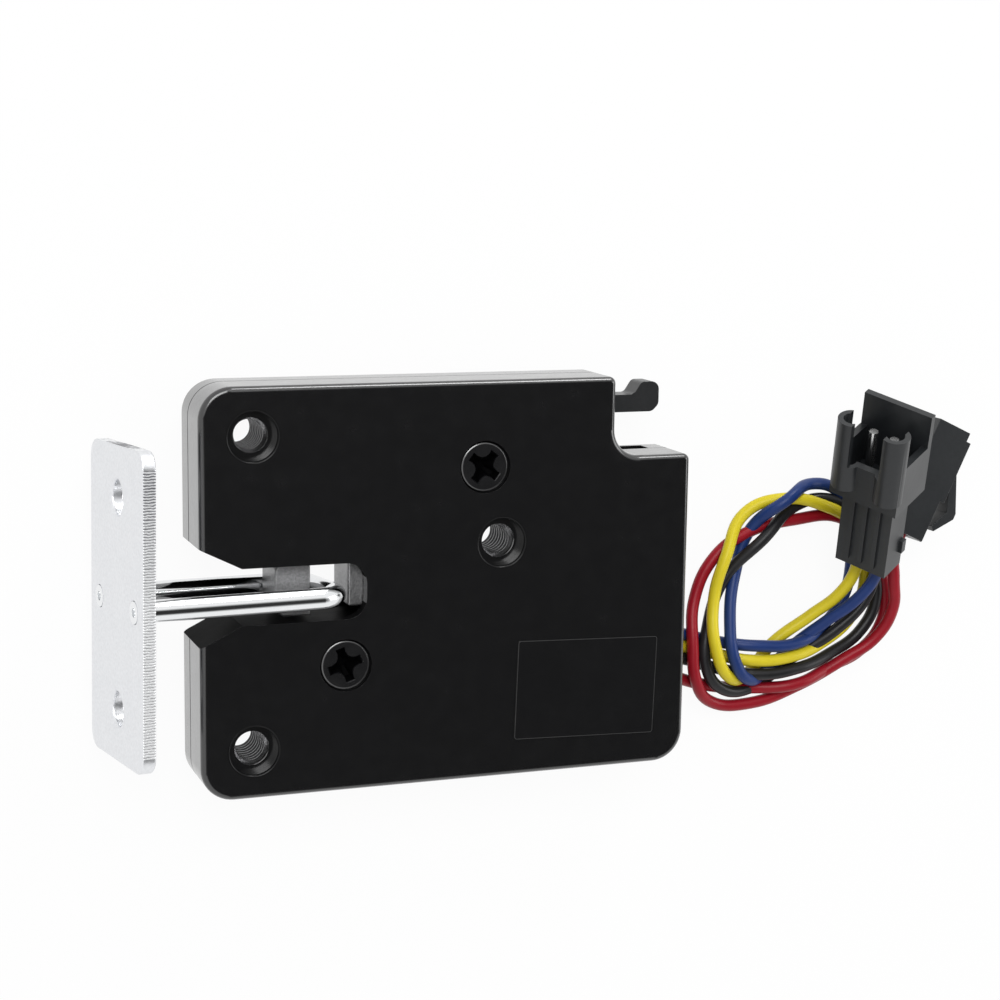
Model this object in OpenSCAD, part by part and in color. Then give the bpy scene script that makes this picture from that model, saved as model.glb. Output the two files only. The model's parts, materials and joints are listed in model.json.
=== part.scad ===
// Electric cabinet lock: a flat two-shell housing with a fork latch that holds a
// riveted U shackle, released by a small solenoid or by the hooked lever at the top.
// It lies on its back face. +X runs from the strike to the cable, +Y towards the
// release lever, +Z out of the front cover. The origin is the axis of the middle
// threaded hole, on the back face.

/* [Housing] */
// Width of the housing, strike side to cable side
body_w = 53; // [51:0.5:58]
// Height of the housing
body_h = 42; // [41.5:0.25:46]
// Wall thickness of both shells round the edge
wall = 1.3; // [1:0.1:1.6]
// Thickness of the back shell's floor
floor_t = 1.2; // [1:0.05:1.4]
// Thickness of the front shell's face
face_t = 1.3; // [1:0.05:1.6]
// Depth of the room between the two faces
room_t = 6; // [6:0.1:7]
// Share of the side wall that belongs to the back shell, in millimetres
seam_z = 3.4; // [3:0.1:4]
// Corner radius of the housing
corner_r = 3.4; // [2.5:0.1:4.5]
// Rounding of the front and back edges
edge_r = 0.6; // [0.3:0.1:0.9]

/* [Notch for the release lever] */
// Distance from the strike side to the notch wall
notch_x = 44.3; // [43.8:0.1:46]
// Distance of the ledge under the lever from the top edge
ledge_drop = 8.4; // [8:0.1:9]
// Radius in the notch's inner corner
notch_r = 2.8; // [1.5:0.1:3.5]
// Radius of the notch's two outer corners
notch_tip_r = 0.7; // [0.4:0.1:1]

/* [Shackle slot] */
// Distance of the slot's middle line from the top edge
slot_drop = 21.1; // [20.7:0.1:21.5]
// Width of the slot's straight part
slot_w = 5.8; // [5.5:0.1:6.2]
// Width of the slot at its mouth
mouth_w = 10; // [9:0.1:11]
// Length of the flared mouth
mouth_l = 4.25; // [3.5:0.1:4.5]
// Depth of the slot from the strike side
slot_l = 17.2; // [16.8:0.1:17.6]
// Radius of the slot's end corners
slot_end_r = 2.2; // [1:0.1:2.7]

/* [Fastening holes] */
// Distance of the two strike-side holes from the strike side
hole_x = 5.45; // [5:0.05:6]
// Distance of the lower hole from the bottom edge
hole_y = 5; // [4.8:0.1:5.6]
// Distance of the upper hole from the top edge
upper_hole_drop = 5; // [4.8:0.1:5.6]
// Distance of the middle hole from the strike side
mid_hole_x = 31.75; // [31.5:0.05:32]
// Distance of the middle hole from the top edge
mid_hole_drop = 16.9; // [16.6:0.05:17.2]
// Core radius of the threaded holes
thread_r = 1.65; // [1.5:0.05:1.8]
// Radius of the clearance hole in the front face
relief_r = 2.45; // [2.2:0.05:2.6]
// Radius of the bosses round the threaded holes
boss_r = 3.3; // [3:0.05:3.4]

/* [Cover screws] */
// Distance of the upper screw from the strike side
upper_screw_x = 29.8; // [29.6:0.05:30]
// Distance of the upper screw from the top edge
upper_screw_drop = 8.95; // [8.8:0.05:9.1]
// Distance of the lower screw from the strike side
lower_screw_x = 15; // [14.6:0.1:15.4]
// Distance of the lower screw below the slot's middle line
lower_screw_drop = 7.7; // [7.5:0.1:8.1]
// Radius of the screw's shank
screw_r = 1.45; // [1.4:0.05:1.5]
// Radius of the countersunk head
screw_head_r = 2.65; // [2.5:0.05:2.7]
// Depth of the head below the front face
screw_sink = 0.25; // [0.15:0.05:0.3]

/* [Fork latch] */
// Distance of the fork's pivot from the strike side
fork_x = 15.2; // [15.1:0.05:15.3]
// Height of the fork's pivot above the slot's middle line
fork_rise = 7.7; // [7.6:0.05:7.8]
// Thickness of the fork
fork_t = 5.4; // [5:0.1:5.4]
// Radius of the fork's pivot pin
fork_pin_r = 1.5; // [1.3:0.05:1.6]

/* [Release lever] */
// Distance of the lever's pivot from the strike side
lever_x = 33; // [32.9:0.05:33.1]
// Distance of the lever's pivot from the top edge
lever_drop = 3.8; // [3.7:0.05:3.9]
// Thickness of the lever
lever_t = 2.8; // [2:0.1:3]
// Height of the lever's back face above the housing's back
lever_z = 2.8; // [2.7:0.1:3]
// Distance of the lever's tip from the strike side
lever_tip_x = 50.4; // [49.5:0.1:50.8]
// Radius of the lever's pivot pin
lever_pin_r = 1; // [0.9:0.05:1.1]

/* [Solenoid] */
// Distance of the solenoid's axis from the strike side
coil_x = 41.4; // [41.35:0.05:41.45]
// Distance from the lever's pivot down to the solenoid's frame
coil_drop = 7.4; // [6.8:0.1:8]
// Length of the solenoid's frame
coil_l = 18.4; // [17.6:0.2:18.6]
// Width of the solenoid's frame
yoke_w = 12; // [11.6:0.1:12]
// Thickness of the frame's strip
yoke_t = 1; // [0.8:0.1:1.2]
// Radius of the plunger
plunger_r = 1.5; // [1.4:0.05:1.55]
// Travel of the plunger
stroke = 1.77; // [1.7:0.01:1.8]

/* [Strike] */
// Height of the strike's plate
plate_h = 31.4; // [28:0.2:34]
// Width of the strike's plate
plate_w = 15; // [14:0.1:15.2]
// Thickness of the strike's plate
plate_t = 1.4; // [1.2:0.1:1.8]
// Distance from the plate's middle to each screw hole
plate_hole_y = 10.5; // [9:0.1:12]
// Radius of the plate's screw holes
plate_hole_r = 1.7; // [1.4:0.05:2]
// Radius of the shackle's rod
rod_r = 1.1; // [1:0.05:1.15]
// Distance between the middles of the shackle's legs
shackle_w = 10; // [9.9:0.05:10.2]
// Length of the shackle from the plate's outer face to its bend
shackle_l = 22.1; // [21.9:0.1:22.3]
// Bend radius of the shackle
shackle_bend_r = 2.4; // [2.2:0.1:2.5]

/* [Wires] */
// Radius of each wire
wire_r = 0.7; // [0.5:0.05:0.75]

/* [Hidden] */
$fn = 48;

tiny = 0.01;
cut = 1;
run_gap = 0.05;
seat_gap = 0.2;
body_t = floor_t + room_t + face_t;
room_top = floor_t + room_t;
mid_z = floor_t + room_t / 2;
seam_bevel = 0.12;

ledge_y = body_h - ledge_drop;
slot_y = body_h - slot_drop;
upper_hole_y = body_h - upper_hole_drop;
mid_hole_y = body_h - mid_hole_drop;
upper_screw_y = body_h - upper_screw_drop;
lower_screw_y = slot_y - lower_screw_drop;
fork_y = slot_y + fork_rise;
lever_y = body_h - lever_drop;
coil_y = lever_y - coil_drop - coil_l;

slot_low = slot_y - slot_w / 2;
slot_high = slot_y + slot_w / 2;
mouth_low = slot_y - mouth_w / 2;
mouth_high = slot_y + mouth_w / 2;

// Lid screw: flat rim, then a 90 degree cone down to the shank
head_rim = 0.15;
head_cone = screw_head_r - screw_r;
screw_top = body_t - screw_sink;
screw_pad_t = 1.3;
screw_pad_z = room_top - screw_pad_t;
screw_boss_r = 2.6;
screw_pad_r = 3.1;
screw_clear = 0.1;
screw_end = floor_t + 0.4;

// Depth that each pivot pin is let into both shells
pin_seat = 0.6;

// The strike hangs in the fork, turned a little about all three axes
strike_turn = [-1.6, 9, -1];
cross_x = fork_x - 1.55;
cross_y = fork_y - 8.2;
cross_z = mid_z + 0.1;

lever_z1 = lever_z + lever_t;
link_x = coil_x;
link_y = lever_y;
link_rise = 0.6;
link_pin_r = 0.7;
fork_z = mid_z - fork_t / 2;

switch_x = fork_x + 6;
switch_drop = 6.3;
switch_y = slot_y - switch_drop;
switch_w = 5;
switch_l = 9.4;
switch_t = room_t - 2 * seat_gap;
button_y = slot_y;
button_w = 1.6;
button_travel = 0.8;

// Wires leave the cable side through one grommet, side by side
exit_y = [8.2, 9.8, 11.4, 13];
exit_z = 2.4;

// Moves the housing's lower strike-side corner so that the middle hole is the origin
module placed() {
    translate([-mid_hole_x, -mid_hole_y, 0]) children();
}

// Flat rounded rectangle from one corner to the other
module rounded(x0, y0, x1, y1, r) {
    translate([x0 + r, y0]) square([x1 - x0 - 2 * r, y1 - y0]);
    translate([x0, y0 + r]) square([x1 - x0, y1 - y0 - 2 * r]);
    for (x = [x0 + r, x1 - r], y = [y0 + r, y1 - r]) translate([x, y]) circle(r);
}

// Upright post with a rounded outer edge at one end and a small bevel at the seam
module edge_post(x, y, r, h, front) {
    steps = 5;
    round_r = min(edge_r, r - 0.05);
    profile = concat(
        [[0, 0], [r - seam_bevel, 0], [r, seam_bevel]],
        [for (i = [0:steps]) let (a = 90 * i / steps)
            [r - round_r + round_r * cos(a), h - round_r + round_r * sin(a)]],
        [[0, h]]);
    translate([x, y, seam_z]) mirror([0, 0, front ? 0 : 1]) rotate_extrude() polygon(profile);
}

// Outer form of one shell: a tall block beside the notch and a low block under it
module shell_block(h, front) {
    hull() {
        for (y = [corner_r, body_h - corner_r]) edge_post(corner_r, y, corner_r, h, front);
        edge_post(notch_x - notch_tip_r, body_h - notch_tip_r, notch_tip_r, h, front);
        edge_post(notch_x - notch_tip_r, corner_r, notch_tip_r, h, front);
    }
    hull() {
        edge_post(corner_r, corner_r, corner_r, h, front);
        edge_post(body_w - corner_r, corner_r, corner_r, h, front);
        edge_post(body_w - notch_tip_r, ledge_y - notch_tip_r, notch_tip_r, h, front);
        edge_post(notch_x - corner_r, ledge_y - notch_tip_r, notch_tip_r, h, front);
    }
    difference() {
        translate([notch_x - tiny, ledge_y - tiny, front ? seam_z : edge_r])
            cube([notch_r, notch_r, h - edge_r]);
        translate([notch_x + notch_r, ledge_y + notch_r, -cut]) cylinder(r = notch_r, h = body_t + 2 * cut);
    }
}

// Opening for the shackle: a flared mouth and a straight slot with rounded end corners
module slot_shape() {
    polygon([[-cut, mouth_low - 0.4], [0, mouth_low], [mouth_l, slot_low], [mouth_l + 1, slot_low],
        [mouth_l + 1, slot_high], [mouth_l, slot_high], [0, mouth_high], [-cut, mouth_high + 0.4]]);
    translate([mouth_l, slot_low]) square([slot_l - slot_end_r - mouth_l, slot_w]);
    translate([mouth_l, slot_low + slot_end_r]) square([slot_l - mouth_l, slot_w - 2 * slot_end_r]);
    for (y = [slot_low + slot_end_r, slot_high - slot_end_r])
        translate([slot_l - slot_end_r, y]) circle(slot_end_r);
}

// Walls that close the room below the slot and at its upper lip
module slot_walls() {
    polygon([[0, mouth_low - 1.4], [mouth_l + 0.3, slot_low - wall], [slot_l, slot_low - wall],
        [slot_l, slot_low], [mouth_l, slot_low], [0, mouth_low]]);
    polygon([[0, mouth_high], [3.4, mouth_high - 1.72], [3.4, mouth_high - 0.4], [wall, mouth_high + 0.7],
        [wall, mouth_high + 2], [0, mouth_high + 2]]);
}

// Room inside the shells
module room_shape() {
    inner_r = corner_r - wall;
    difference() {
        union() {
            rounded(wall, wall, notch_x - wall, body_h - wall, inner_r);
            rounded(wall, wall, body_w - wall, ledge_y - wall, inner_r);
        }
        slot_walls();
    }
}

// Hole through the notch wall that lets the lever swing
module lever_window() {
    window_low = 2.9;
    window_high = 2;
    translate([notch_x - wall - cut, lever_y - window_low, lever_z - seat_gap])
        cube([wall + 2 * cut, window_low + window_high, lever_t + 2 * seat_gap]);
}

// Places its child at each of the three fastening holes
module at_holes() {
    for (p = [[hole_x, hole_y], [hole_x, upper_hole_y], [mid_hole_x, mid_hole_y]])
        translate([p[0], p[1], 0]) children();
}

module at_screws() {
    for (p = [[upper_screw_x, upper_screw_y], [lower_screw_x, lower_screw_y]])
        translate([p[0], p[1], 0]) children();
}

module pin_seats() {
    translate([fork_x, fork_y, 0]) children(0);
    translate([lever_x, lever_y, 0]) children(1);
}

// Hole in the cable-side wall for the grommet's neck
module grommet_hole(extra) {
    translate([body_w - wall - cut, exit_y[0] - 1.3 - extra, exit_z - 1.15 - extra])
        cube([wall + 2 * cut, exit_y[3] - exit_y[0] + 2.6 + 2 * extra, 2.3 + 2 * extra]);
}

module back_shell() {
    color([0.12, 0.12, 0.12]) placed() difference() {
        union() {
            difference() {
                shell_block(seam_z, false);
                translate([0, 0, floor_t]) linear_extrude(seam_z) room_shape();
            }
            at_holes() translate([0, 0, floor_t - tiny]) cylinder(r = boss_r, h = room_t + tiny);
            at_screws() translate([0, 0, floor_t - tiny])
                cylinder(r = screw_boss_r, h = screw_pad_z - floor_t + tiny);
        }
        translate([0, 0, -cut]) linear_extrude(seam_z + 2 * cut) slot_shape();
        at_holes() translate([0, 0, -cut]) cylinder(r = thread_r, h = body_t + 2 * cut);
        at_screws() translate([0, 0, screw_end - 0.2]) cylinder(r = screw_r + run_gap, h = body_t);
        pin_seats() {
            translate([0, 0, floor_t - pin_seat]) cylinder(r = fork_pin_r + run_gap, h = room_t);
            translate([0, 0, floor_t - pin_seat]) cylinder(r = lever_pin_r + run_gap, h = room_t);
        }
        lever_window();
        ledge_window();
        grommet_hole(0);
    }
}

// Long opening in the ledge, under the lever's hook
module ledge_window() {
    window_l = 4.6;
    window_t = 2.1;
    translate([notch_x + 1.5, ledge_y - wall - cut, floor_t])
        cube([window_l, wall + 2 * cut, window_t]);
}

module front_shell() {
    color([0.1, 0.1, 0.1]) placed() difference() {
        union() {
            difference() {
                shell_block(body_t - seam_z, true);
                translate([0, 0, seam_z - cut]) linear_extrude(room_top - seam_z + cut) room_shape();
            }
            at_screws() translate([0, 0, screw_pad_z])
                cylinder(r = screw_pad_r, h = screw_pad_t + tiny);
        }
        translate([0, 0, -cut]) linear_extrude(body_t + 2 * cut) slot_shape();
        at_holes() translate([0, 0, room_top - cut]) cylinder(r = relief_r, h = face_t + 2 * cut);
        at_screws() {
            cylinder(r = screw_r + screw_clear, h = body_t + cut);
            translate([0, 0, screw_top - head_rim - head_cone])
                cylinder(r1 = screw_r + screw_clear, r2 = screw_head_r + screw_clear, h = head_cone);
            translate([0, 0, screw_top - head_rim])
                cylinder(r = screw_head_r + screw_clear, h = cut);
        }
        pin_seats() {
            cylinder(r = fork_pin_r + run_gap, h = room_top + pin_seat);
            cylinder(r = lever_pin_r + run_gap, h = room_top + pin_seat);
        }
        lever_window();
        grommet_hole(0);
    }
}

// Countersunk cross-head screw, point down, at its place in the lid
module cover_screw(x, y) {
    cross_l = 3.1;
    cross_w = 0.75;
    cross_deep = 1;
    placed() translate([x, y, 0]) difference() {
        union() {
            translate([0, 0, screw_end]) cylinder(r = screw_r, h = screw_top - screw_end - head_rim);
            translate([0, 0, screw_top - head_rim - head_cone])
                cylinder(r1 = screw_r, r2 = screw_head_r, h = head_cone);
            translate([0, 0, screw_top - head_rim]) cylinder(r = screw_head_r, h = head_rim);
        }
        for (a = [0, 90]) rotate([0, 0, a + 20])
            translate([-cross_l / 2, -cross_w / 2, screw_top - cross_deep]) cube([cross_l, cross_w, cut + cross_deep]);
    }
}

module cover_screw_upper() {
    color([0.2, 0.2, 0.2]) cover_screw(upper_screw_x, upper_screw_y);
}

module cover_screw_lower() {
    color([0.2, 0.2, 0.2]) cover_screw(lower_screw_x, lower_screw_y);
}

// Outline of the fork round its pivot: outer horn, throat, inner horn and sloped catch
module fork_outline() {
    throat_x = [-3.5, 0.45];
    throat_top = -6.9;
    throat_r = 0.8;
    difference() {
        polygon([[-3.5, -10.3], [-6.4, -10.3], [-7.2, -9.5], [-7.2, -5.5], [-4.2, 0], [-3.6, 3], [-2.2, 5.3],
            [-0.6, 6.2], [0.7, 6.1], [3.4, 3.9], [4.6, 2.6], [4.9, 0.5], [4.2, -4], [4, -9], [3.4, -9.6],
            [0.45, -9.6]]);
        translate([throat_x[0], -12]) square([throat_x[1] - throat_x[0], throat_top + 12]);
        translate([throat_x[0] + throat_r, -12])
            square([throat_x[1] - throat_x[0] - 2 * throat_r, throat_top + throat_r + 12]);
        for (x = [throat_x[0] + throat_r, throat_x[1] - throat_r]) translate([x, throat_top]) circle(throat_r);
    }
}

module latch_fork() {
    pocket_r = 3.3;
    pocket_deep = 1.9;
    color([0.55, 0.55, 0.56]) placed() translate([fork_x, fork_y, fork_z]) difference() {
        linear_extrude(fork_t) fork_outline();
        translate([0, 0, -cut]) cylinder(r = fork_pin_r + run_gap, h = fork_t + 2 * cut);
        translate([0, 0, fork_t - pocket_deep]) cylinder(r = pocket_r, h = pocket_deep + cut);
    }
}

module pivot_pin(x, y, r) {
    placed() translate([x, y, floor_t - pin_seat + tiny])
        cylinder(r = r, h = room_t + 2 * pin_seat - 2 * tiny);
}

module fork_pivot_pin() {
    color([0.75, 0.75, 0.76]) pivot_pin(fork_x, fork_y, fork_pin_r);
}

module lever_pivot_pin() {
    color([0.75, 0.75, 0.76]) pivot_pin(lever_x, lever_y, lever_pin_r);
}

// Points of a coil that climbs along +Z
function coil_points(r, pitch, turns, per_turn) =
    [for (i = [0:turns * per_turn]) let (a = 360 * i / per_turn)
        [r * cos(a), r * sin(a), pitch * i / per_turn]];

function unit(v) = v / norm(v);

// Direction of the route at one point, from its neighbours
function heading(p, i) =
    unit(p[min(i + 1, len(p) - 1)] - p[max(i - 1, 0)]);

// One ring of a tube, square to the route
function ring(p, i, r, sides) =
    let (t = heading(p, i), s = unit(cross(t, abs(t[2]) < 0.9 ? [0, 0, 1] : [1, 0, 0])), u = cross(s, t))
    [for (k = [0:sides - 1]) p[i] + r * cos(360 * k / sides) * s + r * sin(360 * k / sides) * u];

// Closed tube along a list of points
module tube(p, r, sides) {
    n = len(p);
    rings = [for (i = [0:n - 1]) each ring(p, i, r, sides)];
    walls = [for (i = [0:n - 2], k = [0:sides - 1]) let (j = (k + 1) % sides)
        [i * sides + k, i * sides + j, (i + 1) * sides + j, (i + 1) * sides + k]];
    ends = [[for (k = [sides - 1:-1:0]) k], [for (k = [0:sides - 1]) (n - 1) * sides + k]];
    polyhedron(points = rings, faces = concat(walls, ends), convexity = 6);
}

// Torsion spring that opens the fork, lying in the fork's pocket
module fork_spring() {
    spring_wire_r = 0.22;
    spring_r = 2.6;
    spring_pitch = 0.55;
    spring_turns = 2;
    color([0.8, 0.8, 0.8]) placed()
        translate([fork_x, fork_y, fork_z + fork_t - 1.9 + spring_wire_r + run_gap])
            tube(coil_points(spring_r, spring_pitch, spring_turns, 12), spring_wire_r, 6);
}

// Outline of the release lever: toothed arm, hub, bar and hooked tab
module lever_outline() {
    bar_low = lever_y - 0.3;
    bar_high = lever_y + 1.55;
    head_high = lever_y + 2.9;
    tip_r = 0.5;
    hub_r = 2;
    translate([lever_x, lever_y]) {
        polygon([[-14.35, -5.4], [-13.7, -5.95], [-12.9, -5.95], [-11.8, -4], [-7.8, -2.3], [-4.8, -1.85],
            [0, -hub_r], [0, hub_r], [-4.5, 0.2], [-10.5, -1.1], [-13.2, -2], [-14.7, -3.4]]);
        circle(hub_r);
    }
    polygon([[lever_x, bar_low - 0.9], [lever_x + 3, bar_low], [lever_tip_x - 1.6, bar_low],
        [lever_tip_x, bar_low + 1.2], [lever_tip_x, head_high - tip_r], [lever_tip_x - tip_r, head_high],
        [lever_tip_x - 2, head_high], [lever_tip_x - 2.9, bar_high], [lever_x, bar_high]]);
}

module release_lever() {
    link_slot = 0.5;
    color([0.15, 0.15, 0.15]) placed() translate([0, 0, lever_z]) difference() {
        linear_extrude(lever_t) lever_outline();
        translate([lever_x, lever_y, -cut]) cylinder(r = lever_pin_r + run_gap, h = lever_t + 2 * cut);
        for (x = [-link_slot, link_slot])
            translate([link_x + x, link_y + link_rise, -cut]) cylinder(r = link_pin_r + 0.1, h = lever_t + 2 * cut);
        translate([link_x - link_slot, link_y + link_rise - link_pin_r - 0.1, -cut])
            cube([2 * link_slot, 2 * link_pin_r + 0.2, lever_t + 2 * cut]);
    }
}

// Bent steel strip round three sides of the coil, with its two ends bored
module solenoid_yoke() {
    color([0.7, 0.7, 0.72]) placed() translate([coil_x, coil_y, 0]) difference() {
        translate([-yoke_w / 2, 0, floor_t + seat_gap])
            cube([yoke_w, coil_l, room_t - 2 * seat_gap]);
        translate([-yoke_w / 2 + yoke_t, yoke_t, 0]) cube([yoke_w, coil_l - 2 * yoke_t, body_t]);
        translate([0, -cut, mid_z]) rotate([-90, 0, 0]) cylinder(r = plunger_r + run_gap, h = coil_l + 2 * cut);
    }
}

bobbin_r = plunger_r + 0.55;
bobbin_flange_t = 0.7;
bobbin_w = yoke_w - 2 * yoke_t - 0.2;
bobbin_l = coil_l - 2 * yoke_t - 0.1;

// Flat plate with round ends, standing square to the coil's axis
module race_plate(w, t, h) {
    rotate([-90, 0, 0]) linear_extrude(h) {
        square([w - t, t], center = true);
        for (s = [-1, 1]) translate([s * (w - t) / 2, 0]) circle(t / 2);
    }
}

module coil_bobbin() {
    flange_h = room_t - 0.6;
    color([0.9, 0.88, 0.8]) placed() translate([coil_x, coil_y + yoke_t + 0.05, mid_z]) difference() {
        union() {
            rotate([-90, 0, 0]) cylinder(r = bobbin_r, h = bobbin_l);
            for (y = [0, bobbin_l - bobbin_flange_t])
                translate([0, y, 0]) race_plate(bobbin_w, flange_h, bobbin_flange_t);
        }
        translate([0, -cut, 0]) rotate([-90, 0, 0]) cylinder(r = plunger_r + run_gap, h = bobbin_l + 2 * cut);
    }
}

module coil_winding() {
    wound_l = bobbin_l - 2 * bobbin_flange_t - 0.1;
    color([0.72, 0.38, 0.2]) placed()
        translate([coil_x, coil_y + yoke_t + bobbin_flange_t + 0.1, mid_z]) difference() {
            race_plate(bobbin_w - 0.6, room_t - 1, wound_l);
            translate([0, -cut, 0]) rotate([-90, 0, 0]) cylinder(r = bobbin_r + 0.02, h = wound_l + 2 * cut);
        }
}

core_l = 6;
spring_seat_r = 1;

module solenoid_core() {
    color([0.7, 0.7, 0.72]) placed() translate([coil_x, coil_y + 0.1, mid_z]) rotate([-90, 0, 0]) difference() {
        cylinder(r = plunger_r, h = core_l);
        translate([0, 0, core_l - 2]) cylinder(r = spring_seat_r, h = 2 + cut);
    }
}

// Coil spring between core and plunger, seated in the core
module plunger_spring() {
    spring_wire_r = 0.15;
    spring_pitch = 0.65;
    spring_turns = 6;
    color([0.8, 0.8, 0.8]) placed()
        translate([coil_x, coil_y + 0.1 + core_l - 2 + spring_wire_r + run_gap, mid_z]) rotate([-90, 0, 0])
            tube(coil_points(0.75, spring_pitch, spring_turns, 10), spring_wire_r, 6);
}

plunger_low = coil_y + 0.1 + core_l + stroke + 0.1;
plunger_shoulder = coil_y + coil_l + stroke + 0.4;
fork_ear_t = 1;

// Round plunger with a two-eared head that straddles the lever
module plunger() {
    pocket_deep = 4.5;
    head_w = 2.6;
    ear_l = link_y + link_rise - plunger_shoulder;
    color([0.8, 0.8, 0.82]) placed() difference() {
        union() {
            translate([coil_x, plunger_low, mid_z]) rotate([-90, 0, 0])
                cylinder(r = plunger_r, h = plunger_shoulder - plunger_low + tiny);
            translate([coil_x - head_w / 2, plunger_shoulder, lever_z - 0.2 - fork_ear_t])
                cube([head_w, ear_l, lever_t + 0.4 + 2 * fork_ear_t]);
            translate([coil_x, plunger_shoulder + ear_l, lever_z - 0.2 - fork_ear_t])
                cylinder(r = head_w / 2, h = lever_t + 0.4 + 2 * fork_ear_t);
        }
        translate([coil_x - head_w, plunger_shoulder + 1.2, lever_z - 0.2])
            cube([2 * head_w, body_h, lever_t + 0.4]);
        translate([coil_x, plunger_low - cut, mid_z]) rotate([-90, 0, 0])
            cylinder(r = spring_seat_r, h = pocket_deep + cut);
        translate([link_x, link_y + link_rise, 0]) cylinder(r = link_pin_r + 0.02, h = body_t);
    }
}

module plunger_link_pin() {
    color([0.75, 0.75, 0.76]) placed() translate([link_x, link_y + link_rise, lever_z - 0.2 - fork_ear_t])
        cylinder(r = link_pin_r, h = lever_t + 0.4 + 2 * fork_ear_t);
}

module signal_switch() {
    lead_w = 0.8;
    color([0.2, 0.2, 0.22]) placed() difference() {
        translate([switch_x, switch_y, floor_t + seat_gap]) cube([switch_w, switch_l, switch_t]);
        translate([switch_x - cut, button_y - button_w / 2 - 0.1, mid_z - button_w / 2 - 0.1])
            cube([cut + 2.6, button_w + 0.2, button_w + 0.2]);
        for (y = [1.4, 4.7, 8])
            translate([switch_x + switch_w - 1.5, switch_y + y - lead_w / 2 - 0.02, mid_z - 0.27])
                cube([1.5 + cut, lead_w + 0.04, 0.54]);
    }
}

// Button of the switch, held in by the fork's inner horn
module switch_button() {
    tip_x = fork_x + 4.15;
    color([0.85, 0.85, 0.8]) placed() {
        translate([tip_x + 0.5, button_y - button_w / 2, mid_z - button_w / 2])
            cube([switch_x + 2.4 - tip_x - 0.5, button_w, button_w]);
        translate([tip_x + button_w / 2, button_y, mid_z - button_w / 2])
            cylinder(r = button_w / 2, h = button_w);
    }
}

module switch_terminals() {
    color([0.8, 0.75, 0.5]) placed()
        for (y = [1.4, 4.7, 8])
            translate([switch_x + switch_w - 1.4, switch_y + y - 0.4, mid_z - 0.25]) cube([2.6, 0.8, 0.5]);
}

// Rubber grommet clipped into the cable-side wall, with one hole for each wire
module wire_grommet() {
    flange = 0.7;
    neck_gap = 0.03;
    color([0.08, 0.08, 0.08]) placed() difference() {
        union() {
            intersection() {
                grommet_hole(-neck_gap);
                translate([body_w - wall - neck_gap, 0, 0]) cube([wall + 2 * neck_gap, body_h, body_t]);
            }
            for (x = [body_w + neck_gap, body_w - wall - neck_gap - 0.8])
                translate([x, exit_y[0] - 1.3 - flange, exit_z - 1.15])
                    cube([0.8, exit_y[3] - exit_y[0] + 2.6 + 2 * flange, 2.3 + flange]);
        }
        for (y = exit_y) translate([body_w - 3, y, exit_z]) rotate([0, 90, 0])
            cylinder(r = wire_r + 0.02, h = 6);
    }
}

module rating_label() {
    label_w = 15.9;
    label_h = 10.6;
    label_t = 0.12;
    label_turn = -1.8;
    label_x = body_w - 11.5;
    label_y = 8.95;
    color([0.05, 0.05, 0.05]) placed() translate([label_x, label_y, body_t]) rotate([0, 0, label_turn])
        linear_extrude(label_t) rounded(-label_w / 2, -label_h / 2, label_w / 2, label_h / 2, 0.3);
}

// Places the strike: its own +X runs from the plate's outer face towards the bend
module strike_placed() {
    placed() translate([cross_x, cross_y, cross_z]) rotate([0, 0, strike_turn[2]])
        rotate([strike_turn[0], 0, 0]) rotate([0, strike_turn[1], 0]) translate([-shackle_l, 0, 0]) children();
}

module strike_plate() {
    plate_corner_r = 1.8;
    hole_edge = 0.3;
    color([0.85, 0.86, 0.88]) strike_placed() difference() {
        rotate([90, 0, 90]) linear_extrude(plate_t)
            rounded(-plate_h / 2, -plate_w / 2, plate_h / 2, plate_w / 2, plate_corner_r);
        for (y = [-plate_hole_y, plate_hole_y]) translate([0, y, 0]) rotate([0, 90, 0]) {
            translate([0, 0, -cut]) cylinder(r = plate_hole_r, h = plate_t + 2 * cut);
            translate([0, 0, -tiny]) cylinder(r1 = plate_hole_r + hole_edge, r2 = plate_hole_r, h = hole_edge);
        }
        for (z = [-shackle_w / 2, shackle_w / 2]) translate([-cut, 0, z]) rotate([0, 90, 0])
            cylinder(r = rod_r + 0.02, h = plate_t + 2 * cut);
    }
}

module strike_shackle() {
    straight_l = shackle_l - shackle_bend_r;
    dimple_r = 0.45;
    color([0.8, 0.8, 0.82]) strike_placed() difference() {
        union() {
            for (a = [0, 180]) rotate([a, 0, 0]) {
                translate([0, 0, shackle_w / 2]) rotate([0, 90, 0]) cylinder(r = rod_r, h = straight_l + tiny);
                translate([straight_l, 0, shackle_w / 2 - shackle_bend_r]) rotate([90, 0, 0])
                    rotate_extrude(angle = 90) translate([shackle_bend_r, 0]) circle(rod_r);
            }
            translate([shackle_l, 0, shackle_bend_r - shackle_w / 2])
                cylinder(r = rod_r, h = shackle_w - 2 * shackle_bend_r);
        }
        for (z = [-shackle_w / 2, shackle_w / 2]) translate([-cut, 0, z]) rotate([0, 90, 0])
            cylinder(r = dimple_r, h = cut + 0.3);
    }
}

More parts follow.
